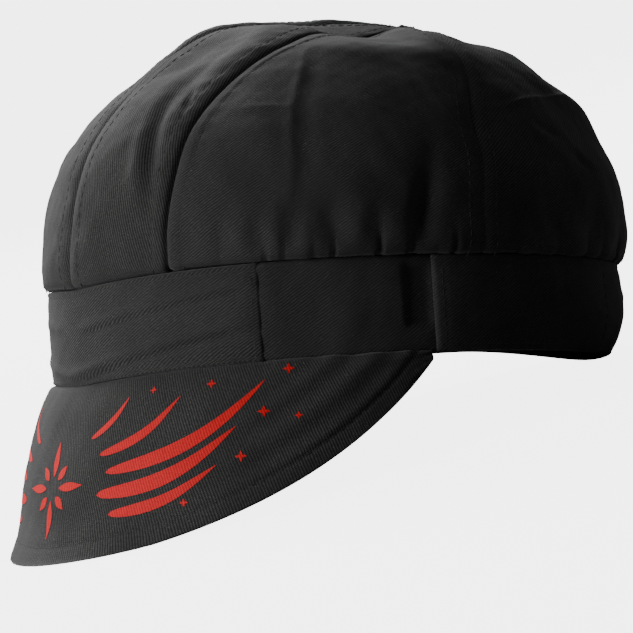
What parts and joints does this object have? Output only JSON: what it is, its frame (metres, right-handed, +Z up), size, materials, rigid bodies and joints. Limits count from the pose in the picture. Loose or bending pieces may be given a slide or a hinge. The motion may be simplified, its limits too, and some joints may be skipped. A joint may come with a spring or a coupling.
{
  "type": "welding cap",
  "caption": "Soft cotton twill welding cap with gathered crown gores, a band sewn in overlapping pieces and a long steep padded visor.",
  "frame": {"origin": "on the surface that the cap rests on, under the middle of its bounding box", "axes": "+Z up, -Y towards the front of the cap where the visor is, +X towards the wearer's left"},
  "size_m": [0.1704, 0.2496, 0.1479],
  "materials": {
    "black_twill": "matte black cotton twill",
    "stitching": "matte black sewing thread",
    "visor_print": "matte red screen print ink on cloth"
  },
  "bodies": {
    "root": {"crown_front_left": "black_twill", "crown_front_right": "black_twill", "crown_side_left": "black_twill", "crown_side_right": "black_twill", "crown_rear_left": "black_twill", "crown_rear_right": "black_twill", "band": "black_twill", "front_band": "black_twill", "rear_band": "black_twill", "visor": "black_twill"}
  },
  "joints": []
}
